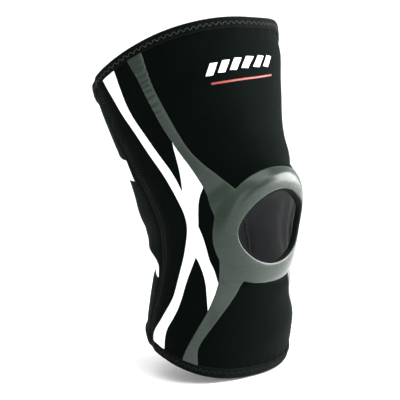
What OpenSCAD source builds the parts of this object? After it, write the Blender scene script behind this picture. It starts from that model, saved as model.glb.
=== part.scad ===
// Open-patella knee sleeve: a laminated foam tube with a bonded elastomer web.
// +Z runs up the leg, -Y is the front of the knee, and the origin is the middle of the knee.
// A place on the fabric is given by an angle a around the leg (0 in front, growing towards +X),
// a height s along the middle of the leg, and a distance d outside the fabric's outer face.

/* [Fabric] */
// Thickness of the foam core
core_t = 3.4; // [2:0.2:5]
// Thickness of the knitted ply on each face of the core
ply_t = 0.4; // [0.3:0.1:0.6]
// Thickness of the adhesive film under a bonded band
film_t = 0.3; // [0.2:0.1:0.4]
// Thickness of the grey elastomer
grey_t = 0.8; // [0.6:0.1:1.2]
// Thickness of the white elastomer
white_t = 0.5; // [0.4:0.1:1]

/* [Posture at rest] */
// Lean of the thigh behind the vertical
thigh_lean = 21.5; // [10:0.5:30]
// Lean of the calf behind the vertical
calf_lean = 2.5; // [0:0.5:10]
// Half of the length that bends over the knee
bend_half = 45; // [35:1:50]

/* [Leg sections: half width, depth in front, depth behind] */
// At the thigh hem
thigh_hem_section = [84.5, 88, 68]; // [30:0.5:120]
// At the middle of the thigh part
thigh_section = [76.5, 73, 66]; // [30:0.5:120]
// Above the kneecap
above_kneecap_section = [63, 67, 71]; // [30:0.5:120]
// At the top of the kneecap
kneecap_section = [52, 74, 76]; // [30:0.5:120]
// At the bottom of the kneecap
below_kneecap_section = [51.5, 61, 68]; // [30:0.5:120]
// Below the knee
shin_section = [56.5, 47, 62]; // [30:0.5:120]
// At the widest part of the calf
calf_section = [64.5, 46, 62]; // [30:0.5:120]
// At the calf hem
calf_hem_section = [63, 40, 57]; // [30:0.5:120]

/* [Edges] */
// Height of the thigh edge at the sides
thigh_edge = 138; // [130:1:145]
// Rise of the thigh edge in front
thigh_edge_rise = 6; // [0:1:10]
// Depth of the calf edge at the sides
calf_edge = 99.5; // [95:0.5:105]
// Drop of the calf edge in front
calf_edge_drop = 15.3; // [0:0.1:18]
// Width of the hem tape
hem_w = 7; // [6:0.5:12]
// Thickness of the hem tape
hem_t = 1.1; // [0.8:0.1:1.5]

/* [Kneecap opening] */
// Half width of the opening
opening_w = 34.7; // [28:0.1:38]
// Half height of the opening, along the middle of the leg
opening_h = 22; // [18:0.5:24]
// Height of the opening's middle
opening_s = -5; // [-8:0.5:0]
// Width of the tape that binds the opening
binding_w = 3.5; // [2.5:0.5:5]
// Thickness of the foam ring inside
buttress_t = 5; // [3:0.5:7]
// Angle from the front to the grey ring's outer edge
ring_angle = 61; // [55:0.5:62]
// Half height of the grey ring
ring_h = 36; // [34:0.5:38]

/* [Hidden] */
STATIONS = [
    concat([-115], calf_hem_section),
    concat([-80], calf_section),
    concat([-45], shin_section),
    concat([-15], below_kneecap_section),
    concat([20], kneecap_section),
    concat([60], above_kneecap_section),
    concat([100], thigh_section),
    concat([145], thigh_hem_section)
];
wall_t = core_t + 2 * ply_t;      // whole fabric
soft_square = 2.15;               // exponent of the sections away from the knee
knee_square = 2.3;                // exponent at the knee, which is squarer
square_reach = 45;                // how far along the leg the squarer sections reach
seam_back = 108;                  // angle of a side seam at the hems
seam_bow = 6;                     // how far the seam comes forward at the knee
seam_reach = 50;                  // how far along the leg the bow reaches
butt_gap = 0.2;                   // half of the gap between two butted panels, degrees
fold_gap = 0.4;                   // between the fabric and a tape folded over it
pad_gap = 0.7;                    // between the lining and the foam ring
band_gap = 0.4;                   // between a hem's tape and the end of a band
root_gap = 0.7;                   // between the ring and the root of an arm
thigh_split = 58;                 // lower end of the fabric that moves with the thigh
calf_split = -60;                 // upper end of the fabric that moves with the calf
col_step = 10.5;                  // angle between two columns of facets
thread_r = 0.35;                  // half thickness of a stitching thread
stitch_w = 3;                     // width of a zigzag of stitching
stitch_n = 96;                    // corners in one loop of zigzag stitching
seam_half = 2.6;                  // half width of a flat seam, degrees
label_half = 11;                  // half width of the care label, degrees
label_l = 26;                     // length of the care label
print_from = -29;                 // angle at which the print starts
print_s = 103;                    // height of the first bar's foot
print_rise = 0.16;                // rise of the row of bars, mm to a degree
bar_pitch = 8;                    // angle between two bars
bar_half = 2.4;                   // half width of a bar, degrees
bar_lean = 4;                     // lean of a bar, degrees from its foot to its top
bar_h = 9;                        // height of a bar
line_to = 18;                     // angle at which the thin line ends
line_s = 96;                      // height of the line's start
line_rise = 7.4;                  // rise of the line to its end
line_h = 1.6;                     // width of the line
print_back = 0.25;                // back of the print, off the fabric
print_face = 0.5;                 // face of the print
grey = "#686d6a";
white = "#f4f5f3";
black = "#15191a";

// Outlines of the bands on one side of the leg: [height, far angle, near angle].
GREY_THIGH_ARM = [[58, 68, 60], [84, 70, 62], [106, 71, 64], [132, 76, 66]];
GREY_CALF_ARM = [[-100, 73, 55], [-90, 68, 54.5], [-80, 63, 51.5], [-70, 58, 46], [-60, 52, 38]];
WHITE_THIGH_ARM = [[58, 88.5, 82], [78, 89, 84], [110, 92, 86], [132, 96, 86]];
WHITE_LONG_STROKE = [[-57, 53, 52], [-48, 56, 49.8], [-38, 61, 48.5], [-20, 74, 61],
    [-10, 78, 68], [3, 82, 74], [16, 84, 77], [28, 86, 79.5], [45, 88, 80.5], [58, 88.5, 82]];
WHITE_SHORT_STROKE = [[2, 73.7, 73.3], [14, 76.2, 71.5], [20, 77.5, 69.5], [27, 79, 64.8],
    [40, 76, 66.5], [48, 73.5, 67.5], [56, 70.5, 68.5]];
WHITE_LOW_STROKE = [[-60, 94, 84.3], [-48, 90, 81], [-28, 88, 76], [-20, 86, 75], [-12, 84.5, 78],
    [2, 83, 82.5]];
WHITE_CALF_ARM = [[-92, 104.6, 92.5], [-80, 102, 91], [-68, 97, 87], [-60, 94, 84.3]];
WHITE_BACK_UPPER = [[58, 111.8, 110.2], [70, 124, 111.5], [82, 142, 122], [96, 170, 144], [104, 179, 162]];
WHITE_BACK_LOWER = [[-44, 110, 108.6], [-34, 122, 108.4], [-20, 140, 118], [-4, 166, 138], [6, 179, 158]];
// Roots of the grey arms beside the ring, upwards: [far point, near point] as [angle, height].
GREY_UPPER_ROOT = [[[62.5, 17], [50, 27.5]], [[64, 30], [56, 38]], [[66, 44], [59, 48]],
    [[68, 58], [60, 58]]];
GREY_LOWER_ROOT = [[[52, -60], [38, -60]], [[48.2, -50], [34, -54]], [[46.8, -41], [31, -48]],
    [[49.4, -32], [27.5, -43.5]]];
// Where each root meets the ring, as turns about the opening from the side: [far, near].
GREY_UPPER_TURNS = [14, 48];
GREY_LOWER_TURNS = [-31, -67];

// ---- The surface of the leg ----

function mix(p, q, t) = p * (1 - t) + q * t;
function steps(n) = [for (i = [0:n]) i / n];
function tail(row) = [for (i = [1:len(row) - 1]) row[i]];

// The first span of a table whose far end reaches x.
function span(table, x, i = 0) =
    i >= len(table) - 2 || x <= table[i + 1][0] ? i : span(table, x, i + 1);

function slope(table, i) =
    let (lo = max(i - 1, 0), hi = min(i + 1, len(table) - 1))
    (tail(table[hi]) - tail(table[lo])) / (table[hi][0] - table[lo][0]);

// A smooth curve through the rows of a table, at x in its first column.
function smooth(table, x) =
    let (i = span(table, x), h = table[i + 1][0] - table[i][0], t = (x - table[i][0]) / h)
    tail(table[i]) * (2 * pow(t, 3) - 3 * t * t + 1)
    + slope(table, i) * h * (pow(t, 3) - 2 * t * t + t)
    + tail(table[i + 1]) * (3 * t * t - 2 * pow(t, 3))
    + slope(table, i + 1) * h * (pow(t, 3) - t * t);

function straight(table, x) =
    let (i = span(table, x), t = (x - table[i][0]) / (table[i + 1][0] - table[i][0]))
    mix(tail(table[i]), tail(table[i + 1]), t);

bend_rate = (thigh_lean + calf_lean) / (2 * bend_half);
bend_radius = 180 / (PI * bend_rate);
middle_lean = (thigh_lean - calf_lean) / 2;

// The middle of the leg at height s: [y, z, lean].
function spine(s) =
    let (c = max(-bend_half, min(bend_half, s)), lean = middle_lean + bend_rate * c)
    [bend_radius * (cos(middle_lean) - cos(lean)) + (s - c) * sin(lean),
     bend_radius * (sin(lean) - sin(middle_lean)) + (s - c) * cos(lean), lean];

function power(s) = soft_square + (knee_square - soft_square) * exp(-pow(s / square_reach, 2));
function rounded(v, s) = sign(v) * pow(abs(v), 2 / power(s));

// The point at angle a and height s, d outside the fabric.
function at(a, s, d) =
    let (size = smooth(STATIONS, s), c = spine(s), depth = cos(a) > 0 ? size[1] : size[2],
         f = (depth + d) * rounded(cos(a), s))
    [(size[0] + d) * rounded(sin(a), s), c[0] - f * cos(c[2]), c[1] + f * sin(c[2])];

function thigh_edge_at(a) = thigh_edge + thigh_edge_rise * cos(a);
function calf_edge_at(a) = -calf_edge - calf_edge_drop * cos(a);
function seam_at(s) = seam_back - seam_bow * exp(-pow(s / seam_reach, 2));

// The edge of the kneecap opening, m outside it, in the direction t.
function opening(t, m) =
    let (s = opening_s + (opening_h + m / 1.3) * sin(t), x = (opening_w + m) * cos(t),
         w = smooth(STATIONS, s)[0])
    [sign(x) * asin(pow(abs(x) / w, power(s) / 2)), s];

// ---- Solids between two distances from the fabric ----

// A patch of fabric. grid is rows of [angle, height]; wrapped joins its last column to the first.
module patch(grid, inner, outer, wrapped = false) {
    rows = len(grid);
    cols = len(grid[0]);
    half = rows * cols;
    last = wrapped ? cols - 1 : cols - 2;
    points = [for (d = [outer, inner]) for (row = grid) for (p = row) at(p[0], p[1], d)];
    function id(r, c) = r * cols + c % cols;
    sheets = [for (r = [0:rows - 2]) for (c = [0:last])
        let (a = id(r, c), b = id(r + 1, c), e = id(r + 1, c + 1), f = id(r, c + 1))
        each [[a, b, e], [a, e, f], [half + a, half + e, half + b], [half + a, half + f, half + e]]];
    ends = [for (c = [0:last])
        let (a = id(0, c), b = id(0, c + 1), e = id(rows - 1, c), f = id(rows - 1, c + 1))
        each [[a, b, half + b], [a, half + b, half + a], [f, e, half + e], [f, half + e, half + f]]];
    sides = wrapped ? [] : [for (r = [0:rows - 2])
        let (a = id(r, 0), b = id(r + 1, 0), e = id(r, cols - 1), f = id(r + 1, cols - 1))
        each [[b, a, half + a], [b, half + a, half + b], [e, f, half + f], [e, half + f, half + e]]];
    polyhedron(points, concat(sheets, ends, sides), convexity = 6);
}

// A closed loop of closed sections, each a list of points.
module loop(sections) {
    n = len(sections);
    m = len(sections[0]);
    points = [for (section = sections) each section];
    function id(i, j) = (i % n) * m + j % m;
    faces = [for (i = [0:n - 1]) for (j = [0:m - 1])
        each [[id(i, j), id(i, j + 1), id(i + 1, j + 1)], [id(i, j), id(i + 1, j + 1), id(i + 1, j)]]];
    polyhedron(points, faces, convexity = 6);
}

// ---- Where the panels lie ----

function front_columns(s) =
    let (edge = seam_at(s) - butt_gap, n = round(2 * seam_back / col_step))
    [for (t = steps(n)) mix(-edge, edge, t)];
function back_columns(s) =
    let (edge = seam_at(s) + butt_gap, n = round((360 - 2 * seam_back) / col_step))
    [for (t = steps(n)) mix(edge, 360 - edge, t)];

function thigh_rows(front) = [for (t = steps(7))
    [for (a = let (s = mix(thigh_split, thigh_edge, t)) front ? front_columns(s) : back_columns(s))
        [a, mix(thigh_split, thigh_edge_at(a) - 0.3, t)]]];
function calf_rows(front) = [for (t = steps(4))
    [for (a = let (s = mix(-calf_edge, calf_split, t)) front ? front_columns(s) : back_columns(s))
        [a, mix(calf_edge_at(a) + 0.3, calf_split, t)]]];
knee_back_rows = [for (t = steps(12))
    let (s = mix(calf_split, thigh_split, t)) [for (a = back_columns(s)) [a, s]]];

// The knee's front panel is a fan of rows from the kneecap opening to its four sides.
function knee_side(way) = [for (t = steps(12)) if (t < 1)
    let (s = way > 0 ? mix(thigh_split, calf_split, t) : mix(calf_split, thigh_split, t))
    [way * (seam_at(s) - butt_gap), s]];
function knee_end(s, way) = [for (t = steps(18)) if (t < 1)
    [way * mix(-1, 1, t) * (seam_at(s) - butt_gap), s]];
knee_outline = concat(knee_side(-1), knee_end(thigh_split, 1), knee_side(1), knee_end(calf_split, -1));
knee_front_rows = [for (t = steps(6)) [for (p = knee_outline)
    mix(opening(atan2((p[1] - opening_s) / thigh_split, p[0] / seam_back), 0), p, t)]];

// ---- Fabric panels ----

module foam(grid, wrapped = false) {
    color("#26292a") patch(grid, -ply_t - core_t, -ply_t, wrapped);
}
module jersey(grid, wrapped = false) {
    color(black) patch(grid, -ply_t, 0, wrapped);
}
module lining(grid, wrapped = false) {
    color("#2e3338") patch(grid, -wall_t, -ply_t - core_t, wrapped);
}

module thigh_front_foam() { foam(thigh_rows(true)); }
module thigh_front_jersey() { jersey(thigh_rows(true)); }
module thigh_front_lining() { lining(thigh_rows(true)); }
module thigh_back_foam() { foam(thigh_rows(false)); }
module thigh_back_jersey() { jersey(thigh_rows(false)); }
module thigh_back_lining() { lining(thigh_rows(false)); }
module knee_front_foam() { foam(knee_front_rows, true); }
module knee_front_jersey() { jersey(knee_front_rows, true); }
module knee_front_lining() { lining(knee_front_rows, true); }
module knee_back_foam() { foam(knee_back_rows); }
module knee_back_jersey() { jersey(knee_back_rows); }
module knee_back_lining() { lining(knee_back_rows); }
module calf_front_foam() { foam(calf_rows(true)); }
module calf_front_jersey() { jersey(calf_rows(true)); }
module calf_front_lining() { lining(calf_rows(true)); }
module calf_back_foam() { foam(calf_rows(false)); }
module calf_back_jersey() { jersey(calf_rows(false)); }
module calf_back_lining() { lining(calf_rows(false)); }

// ---- Hems: a tape folded over each edge, and its zigzag stitching ----

hem_angles = [for (i = [0:39]) 9 * i];

// The folded tape's section, as [distance into the panel from the edge, d].
hem_section = [[hem_w, fold_gap], [hem_w, hem_t], [-hem_t, hem_t], [-hem_t, -wall_t - hem_t],
    [hem_w, -wall_t - hem_t], [hem_w, -wall_t - fold_gap], [0, -wall_t - fold_gap], [0, fold_gap]];
thread_section = [[-thread_r, -thread_r], [-thread_r, thread_r], [thread_r, thread_r],
    [thread_r, -thread_r]];

module thigh_hem() {
    color(black) loop([for (a = hem_angles)
        [for (p = hem_section) at(a, thigh_edge_at(a) - p[0], p[1])]]);
}
module calf_hem() {
    color(black) loop([for (a = hem_angles)
        [for (p = hem_section) at(-a, calf_edge_at(a) + p[0], p[1])]]);
}

// One loop of zigzag that follows the tape's inner edge, on the tape's face.
function zigzag(i) = hem_w - stitch_w / 2 + (i % 2 - 0.5) * (stitch_w - 2 * thread_r - 0.4);
module thigh_hem_stitching() {
    color("#c9cdca") loop([for (i = [0:stitch_n - 1]) let (a = 360 * i / stitch_n)
        [for (p = thread_section)
            at(a, thigh_edge_at(a) - zigzag(i) - p[0], hem_t + thread_r + 0.3 + p[1])]]);
}
module calf_hem_stitching() {
    color("#3a3f3e") loop([for (i = [0:stitch_n - 1]) let (a = 360 * i / stitch_n)
        [for (p = thread_section)
            at(-a, calf_edge_at(a) + zigzag(i) + p[0], hem_t + thread_r + 0.3 + p[1])]]);
}

// ---- Flat side seams ----

module seam(from, to, n) {
    color("#303534") patch([for (t = steps(n)) let (s = mix(from, to, t))
        [for (k = [-1:1]) [-seam_at(s) + k * seam_half, s]]], film_t, film_t + 0.7);
}
thigh_seam_end = thigh_edge_at(seam_back) - hem_w - 1;
calf_seam_end = calf_edge_at(seam_back) + hem_w + 1;
module thigh_seam_outer() { seam(thigh_split, thigh_seam_end, 7); }
module thigh_seam_inner() { mirror([1, 0, 0]) thigh_seam_outer(); }
module knee_seam_outer() { seam(calf_split, thigh_split, 12); }
module knee_seam_inner() { mirror([1, 0, 0]) knee_seam_outer(); }
module calf_seam_outer() { seam(calf_seam_end, calf_split, 4); }
module calf_seam_inner() { mirror([1, 0, 0]) calf_seam_outer(); }

// ---- The kneecap opening ----

opening_turns = [for (i = [0:47]) 180 - 7.5 * i];
binding_t = 1;
binding_section = [[binding_w, fold_gap], [binding_w, binding_t], [-binding_t, binding_t],
    [-binding_t, -wall_t - binding_t], [binding_w, -wall_t - binding_t],
    [binding_w, -wall_t - fold_gap], [-0.2, -wall_t - fold_gap], [-0.2, fold_gap]];
module opening_binding() {
    color(black) loop([for (t = opening_turns)
        [for (p = binding_section) let (q = opening(t, p[0])) at(q[0], q[1], p[1])]]);
}
module opening_stitching() {
    color("#2b3030") loop([for (t = opening_turns)
        [for (p = thread_section) let (q = opening(t, binding_w / 2 + p[0])) at(q[0], q[1], 1.7 + p[1])]]);
}

function oval(turn, angle, height) = [angle * cos(turn), opening_s + height * sin(turn)];

// A ring of rows between the opening, m outside it, and an oval in angle and height.
function ring_rows(m, angle, height, n) = [for (t = steps(n)) [for (turn = opening_turns)
    mix(opening(turn, m), oval(turn, angle, height), t)]];
module patella_buttress() {
    rows = ring_rows(binding_w + 1, 51, 31, 3);
    color("#3b4044") patch(rows, -wall_t - buttress_t, -wall_t - pad_gap, true);
}
module grey_patella_ring() {
    color(grey) patch(ring_rows(binding_w + 0.3, ring_angle, ring_h, 3), film_t, film_t + grey_t, true);
}

// ---- Bonded bands ----

// The height s, held between the tapes of the two hems.
function between_hems(a, s) =
    max(calf_edge_at(a) + hem_w + band_gap, min(thigh_edge_at(a) - hem_w - band_gap, s));

// A band along the leg between the two outlines of a table, drawn on the -X side.
module band(table, n, thick, across = 2, curved = true) {
    low = table[0][0];
    high = table[len(table) - 1][0];
    patch([for (t = steps(n))
        let (s = mix(low, high, t), edges = curved ? smooth(table, s) : straight(table, s))
        [for (u = steps(across)) let (a = mix(edges[0], edges[1], u)) [-a, between_hems(a, s)]]],
        film_t, film_t + thick);
}

// The root of an arm, where it spreads out beside the ring. rows are listed upwards.
module root(rows) {
    patch([for (row = rows) [for (p = row) [-p[0], p[1]]]], film_t, film_t + grey_t);
}
function root_rows(table) = [for (row = table) [for (u = steps(4)) mix(row[0], row[1], u)]];
function beside_ring(turns) = [for (u = steps(4))
    oval(mix(turns[0], turns[1], u), ring_angle + root_gap, ring_h + root_gap)];

module grey_arm_roots_outer() {
    color(grey) {
        root(concat([beside_ring(GREY_UPPER_TURNS)], root_rows(GREY_UPPER_ROOT)));
        root(concat(root_rows(GREY_LOWER_ROOT), [beside_ring(GREY_LOWER_TURNS)]));
    }
}
module grey_arm_roots_inner() { mirror([1, 0, 0]) grey_arm_roots_outer(); }
module grey_thigh_arm_outer() { color(grey) band(GREY_THIGH_ARM, 8, grey_t); }
module grey_thigh_arm_inner() { mirror([1, 0, 0]) grey_thigh_arm_outer(); }
module grey_calf_arm_outer() { color(grey) band(GREY_CALF_ARM, 5, grey_t); }
module grey_calf_arm_inner() { mirror([1, 0, 0]) grey_calf_arm_outer(); }

module white_cross_outer() {
    color(white) {
        band(WHITE_LONG_STROKE, 14, white_t);
        band(WHITE_SHORT_STROKE, 9, white_t, curved = false);
        band(WHITE_LOW_STROKE, 8, white_t, curved = false);
    }
}
module white_cross_inner() { mirror([1, 0, 0]) white_cross_outer(); }
module white_thigh_arm_outer() { color(white) band(WHITE_THIGH_ARM, 8, white_t); }
module white_thigh_arm_inner() { mirror([1, 0, 0]) white_thigh_arm_outer(); }
module white_calf_arm_outer() { color(white) band(WHITE_CALF_ARM, 4, white_t); }
module white_calf_arm_inner() { mirror([1, 0, 0]) white_calf_arm_outer(); }

module white_back_upper() {
    color(white) {
        band(WHITE_BACK_UPPER, 8, white_t, 8);
        mirror([1, 0, 0]) band(WHITE_BACK_UPPER, 8, white_t, 8);
    }
}
module white_back_lower() {
    color(white) {
        band(WHITE_BACK_LOWER, 7, white_t, 6);
        mirror([1, 0, 0]) band(WHITE_BACK_LOWER, 7, white_t, 6);
    }
}

// ---- Print and label ----

// A leaning bar whose foot is at the angle a. The row of bars rises towards +X.
module print_bar(a) {
    low = print_s + print_rise * (a - print_from);
    patch([for (t = steps(2)) [for (k = [-1, 1])
        [a + bar_lean * t + k * bar_half, low + bar_h * t]]], print_back, print_face);
}
module print_bars() {
    color(white) for (i = [0:5]) print_bar(print_from + bar_pitch * i);
}
module print_line() {
    color("#c0392b") patch([for (k = [0, 1]) [for (t = steps(8))
        [mix(print_from, line_to, t), line_s + line_rise * t * t + line_h * k]]], print_back, print_face);
}
module care_label() {
    top = thigh_edge_at(180) - hem_w - 0.5;
    color("#dfe2e0") patch([for (t = steps(3))
        [for (k = [-1:1]) [180 + label_half * k, mix(top - label_l, top, t)]]],
        -wall_t - 0.9, -wall_t - 0.4);
}

thigh_front_foam();
thigh_front_jersey();
thigh_front_lining();
thigh_back_foam();
thigh_back_jersey();
thigh_back_lining();
knee_front_foam();
knee_front_jersey();
knee_front_lining();
knee_back_foam();
knee_back_jersey();
knee_back_lining();
calf_front_foam();
calf_front_jersey();
calf_front_lining();
calf_back_foam();
calf_back_jersey();
calf_back_lining();
thigh_hem();
thigh_hem_stitching();
calf_hem();
calf_hem_stitching();
thigh_seam_outer();
thigh_seam_inner();
knee_seam_outer();
knee_seam_inner();
calf_seam_outer();
calf_seam_inner();
opening_binding();
opening_stitching();
patella_buttress();
grey_patella_ring();
grey_arm_roots_outer();
grey_arm_roots_inner();
grey_thigh_arm_outer();
grey_thigh_arm_inner();
grey_calf_arm_outer();
grey_calf_arm_inner();
white_cross_outer();
white_cross_inner();
white_thigh_arm_outer();
white_thigh_arm_inner();
white_calf_arm_outer();
white_calf_arm_inner();
white_back_upper();
white_back_lower();
print_bars();
print_line();
care_label();
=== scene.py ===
"""Looks of an open-patella knee sleeve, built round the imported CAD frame.

A place on the fabric is (a, s, d), as in the CAD: the angle round the leg in degrees (0 in front,
growing towards +X), the height along the middle of the leg in mm, and the distance outside the
fabric's outer face in mm.
"""
import math

import bpy
import numpy as np
from mathutils import Matrix, Vector
from mathutils.geometry import delaunay_2d_cdt


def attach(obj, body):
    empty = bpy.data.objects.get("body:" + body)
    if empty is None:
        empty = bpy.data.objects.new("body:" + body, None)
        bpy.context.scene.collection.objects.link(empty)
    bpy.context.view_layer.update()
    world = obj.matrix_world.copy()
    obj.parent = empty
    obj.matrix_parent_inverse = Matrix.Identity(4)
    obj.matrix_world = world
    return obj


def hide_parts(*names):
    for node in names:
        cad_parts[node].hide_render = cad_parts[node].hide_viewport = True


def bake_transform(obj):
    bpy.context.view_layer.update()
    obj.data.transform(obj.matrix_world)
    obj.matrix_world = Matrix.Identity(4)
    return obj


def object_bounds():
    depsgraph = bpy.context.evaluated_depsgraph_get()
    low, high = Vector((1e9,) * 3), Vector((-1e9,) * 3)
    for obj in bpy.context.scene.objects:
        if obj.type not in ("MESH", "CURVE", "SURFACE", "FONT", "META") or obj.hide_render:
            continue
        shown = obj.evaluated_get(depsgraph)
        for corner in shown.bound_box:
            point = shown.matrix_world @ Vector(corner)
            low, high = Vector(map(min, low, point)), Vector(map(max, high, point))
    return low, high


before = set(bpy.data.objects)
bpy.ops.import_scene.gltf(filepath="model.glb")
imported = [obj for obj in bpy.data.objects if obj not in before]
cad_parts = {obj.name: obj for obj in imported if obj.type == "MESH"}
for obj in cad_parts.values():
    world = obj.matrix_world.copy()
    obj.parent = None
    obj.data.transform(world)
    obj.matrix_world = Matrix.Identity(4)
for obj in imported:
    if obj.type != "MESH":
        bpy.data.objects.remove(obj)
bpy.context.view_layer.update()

MM = 0.001

# ---- Driving dimensions, the same as the CAD's ----

# Sections of the leg: height, half width, depth in front, depth behind.
STATIONS = np.array([
    (-115, 63, 40, 57),
    (-80, 64.5, 46, 62),
    (-45, 56.5, 47, 62),
    (-15, 51.5, 61, 68),
    (20, 52, 74, 76),
    (60, 63, 67, 71),
    (100, 76.5, 73, 66),
    (145, 84.5, 88, 68),
], float)
THIGH_LEAN, CALF_LEAN, BEND_HALF = 21.5, 2.5, 45.0
SOFT_SQUARE, KNEE_SQUARE, SQUARE_REACH = 2.15, 2.3, 45.0
THIGH_EDGE, THIGH_RISE, CALF_EDGE, CALF_DROP = 138.0, 6.0, 99.5, 15.3
SEAM_BACK, SEAM_BOW, SEAM_REACH = 108.0, 6.0, 50.0
PLY, CORE = 0.4, 3.4
WALL = CORE + 2 * PLY
HEM_W, HEM_T = 7.0, 0.9
OPENING_W, OPENING_H, OPENING_S = 34.7, 22.0, -5.0
RING_ANGLE, RING_H = 61.0, 36.0
GREY_T, WHITE_T = 0.8, 0.5
BIND_W = 1.5

# How the worn thigh hem rides up: all round, and more beside the front of the inner side (mm, degrees).
WORN_RISE, WORN_LIFT, WORN_LIFT_AT, WORN_LIFT_REACH = 1.0, 6.6, 34.0, 21.0

# ---- Camera: the photograph's viewing angle ----

CAMERA_AZIMUTH, CAMERA_ELEVATION, CAMERA_ROLL = -42.9, 4.35, -0.7
CAMERA_DISTANCE, CAMERA_LENS, SENSOR = 0.694, 74.93, 36.0
CAMERA_ASIDE, CAMERA_RAISE = -0.0188, 0.0220


def make_camera():
    az, el, roll = (math.radians(v) for v in (CAMERA_AZIMUTH, CAMERA_ELEVATION, CAMERA_ROLL))
    back = Vector((math.sin(az) * math.cos(el), -math.cos(az) * math.cos(el), math.sin(el)))
    level = Vector((math.cos(az), math.sin(az), 0))
    steep = back.cross(level)
    right = level * math.cos(roll) + steep * math.sin(roll)
    up = steep * math.cos(roll) - level * math.sin(roll)
    data = bpy.data.cameras.new("camera")
    data.lens, data.sensor_width = CAMERA_LENS, SENSOR
    camera = bpy.data.objects.new("camera", data)
    turn = Matrix((right, up, back)).transposed().to_4x4()
    place = back * CAMERA_DISTANCE + right * CAMERA_ASIDE + up * CAMERA_RAISE
    camera.matrix_world = Matrix.Translation(place) @ turn
    bpy.context.scene.collection.objects.link(camera)
    bpy.context.scene.camera = camera


make_camera()

# ---- The surface of the leg ----


def smooth(table, x):
    """A smooth curve through the rows of a table, at x in its first column."""
    t, v = table[:, 0], table[:, 1:]
    slope = np.empty_like(v)
    slope[1:-1] = (v[2:] - v[:-2]) / (t[2:] - t[:-2])[:, None]
    slope[0], slope[-1] = (v[1] - v[0]) / (t[1] - t[0]), (v[-1] - v[-2]) / (t[-1] - t[-2])
    x = np.asarray(x, float)
    i = np.clip(np.searchsorted(t, x) - 1, 0, len(t) - 2)
    h = (t[i + 1] - t[i])[..., None]
    k = ((x - t[i]) / (t[i + 1] - t[i]))[..., None]
    return ((2 * k**3 - 3 * k**2 + 1) * v[i] + (k**3 - 2 * k**2 + k) * h * slope[i]
            + (3 * k**2 - 2 * k**3) * v[i + 1] + (k**3 - k**2) * h * slope[i + 1])


def bell(x, middle, width):
    """1 at the middle, and smoothly down to 0 on both sides."""
    return np.exp(-(((x - middle) / width) ** 2))


def ease(x, low, high):
    """0 below low, 1 above high, and smooth between."""
    t = np.clip((x - low) / (high - low), 0, 1)
    return t * t * (3 - 2 * t)


def thigh_edge(a):
    """The height of the thigh hem on the leg, with the way it rides up."""
    worn = WORN_RISE + WORN_LIFT * bell(wrapped(a), WORN_LIFT_AT, WORN_LIFT_REACH)
    return THIGH_EDGE + THIGH_RISE * np.cos(np.radians(a)) + worn


def calf_edge(a):
    return -CALF_EDGE - CALF_DROP * np.cos(np.radians(a))


def seam_at(s):
    """The angle of a side seam at that height."""
    return SEAM_BACK - SEAM_BOW * np.exp(-((s / SEAM_REACH) ** 2))


def power(s):
    """How square the leg's section is: 2 would be an oval."""
    return SOFT_SQUARE + (KNEE_SQUARE - SOFT_SQUARE) * np.exp(-((s / SQUARE_REACH) ** 2))


def wrapped(a):
    """The angle as a number from -180 to 180."""
    return (np.asarray(a, float) + 180) % 360 - 180


def ring_radius(a, s):
    """1 on the outer edge of the grey ring, 0 at the middle of the opening."""
    return np.hypot(a / RING_ANGLE, (s - OPENING_S) / RING_H)


def arm_wrinkles(side, s):
    """Fine folds across the grey arms, near the hems."""
    thigh = bell(side, 67, 7) * ease(s, 74, 96) * np.sin(1.3 * s + 1.6 * np.sin(0.23 * s) + 0.10 * side)
    calf = bell(side, 62, 9) * bell(s, -91, 8) * np.sin(1.7 * s + np.sin(0.31 * s) - 0.05 * side)
    return 0.20 * thigh + 0.22 * calf


def worn_ring(a, s):
    """The ring's raised lip, the window's curled edge, and the dip round the ring.

    The lip is highest above the kneecap. On the inner side the window's edge stands off the knee."""
    r = ring_radius(a, s)
    high, past_top = ease(s, -24, 12), ease(s, 8, 24)
    stands_off = ease(a, 14, 34) * bell(s, 2, 26)
    lip = (0.4 + 2.0 * high - 0.7 * stands_off) * bell(r, 0.80 - 0.16 * stands_off, 0.13)
    curl = 1.2 * (1 - stands_off) * bell(r, 0.58, 0.07)
    dip = 3.0 * past_top * bell(r, 1.22, 0.18) + 1.6 * (1 - past_top) * bell(r, 1.06, 0.11)
    return lip - curl - dip


def worn_seam(a, s):
    """The groove along each side seam, and the swell beside it."""
    beside = (np.abs(a) - seam_at(s)) * 1.1
    return 0.25 * bell(np.abs(beside), 7, 4) - 0.7 * bell(beside, 0, 3.5)


def worn_hollow(a, s):
    """The folds in the hollow of the knee."""
    behind = ease(np.abs(a), 104, 135)
    sway = 1.5 * np.cos(np.radians(3 * a))
    bulges = 1.6 * bell(s, -17 + sway, 9) + 1.2 * bell(s, 32, 12)
    fold = 0.8 * bell(s, -36 + 2 * sway, 8) + 1.4 * bell(s, -36 + 2 * sway, 4)
    return behind * (bulges - fold - 0.9 * bell(s, 12 - sway, 7))


def worn_hems(a, s):
    """The thigh hem's pull at the front, and the pucker under both tapes."""
    to_thigh, to_calf = thigh_edge(a) - s, s - calf_edge(a)
    in_front = 0.5 + 0.5 * np.cos(np.radians(a))
    pull = 3.2 * in_front**2 * ease(-to_thigh, -22, -4)
    pucker = 0.22 * np.cos(np.radians(a) * 38 + 0.7 * np.sin(np.radians(5 * a))) - 0.3
    return pucker * (bell(to_thigh, HEM_W + 2, 5) + bell(to_calf, HEM_W + 2, 5)) - pull


def worn_waves(a, s):
    """The slight unevenness of the cloth outside the ring."""
    waves = (np.sin(0.11 * s + np.radians(3 * a) + 1.0) * np.sin(np.radians(4 * a) - 0.05 * s)
             + 0.6 * np.sin(0.19 * s - np.radians(5 * a)))
    return 0.28 * waves * ease(ring_radius(a, s), 0.9, 1.4)


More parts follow.
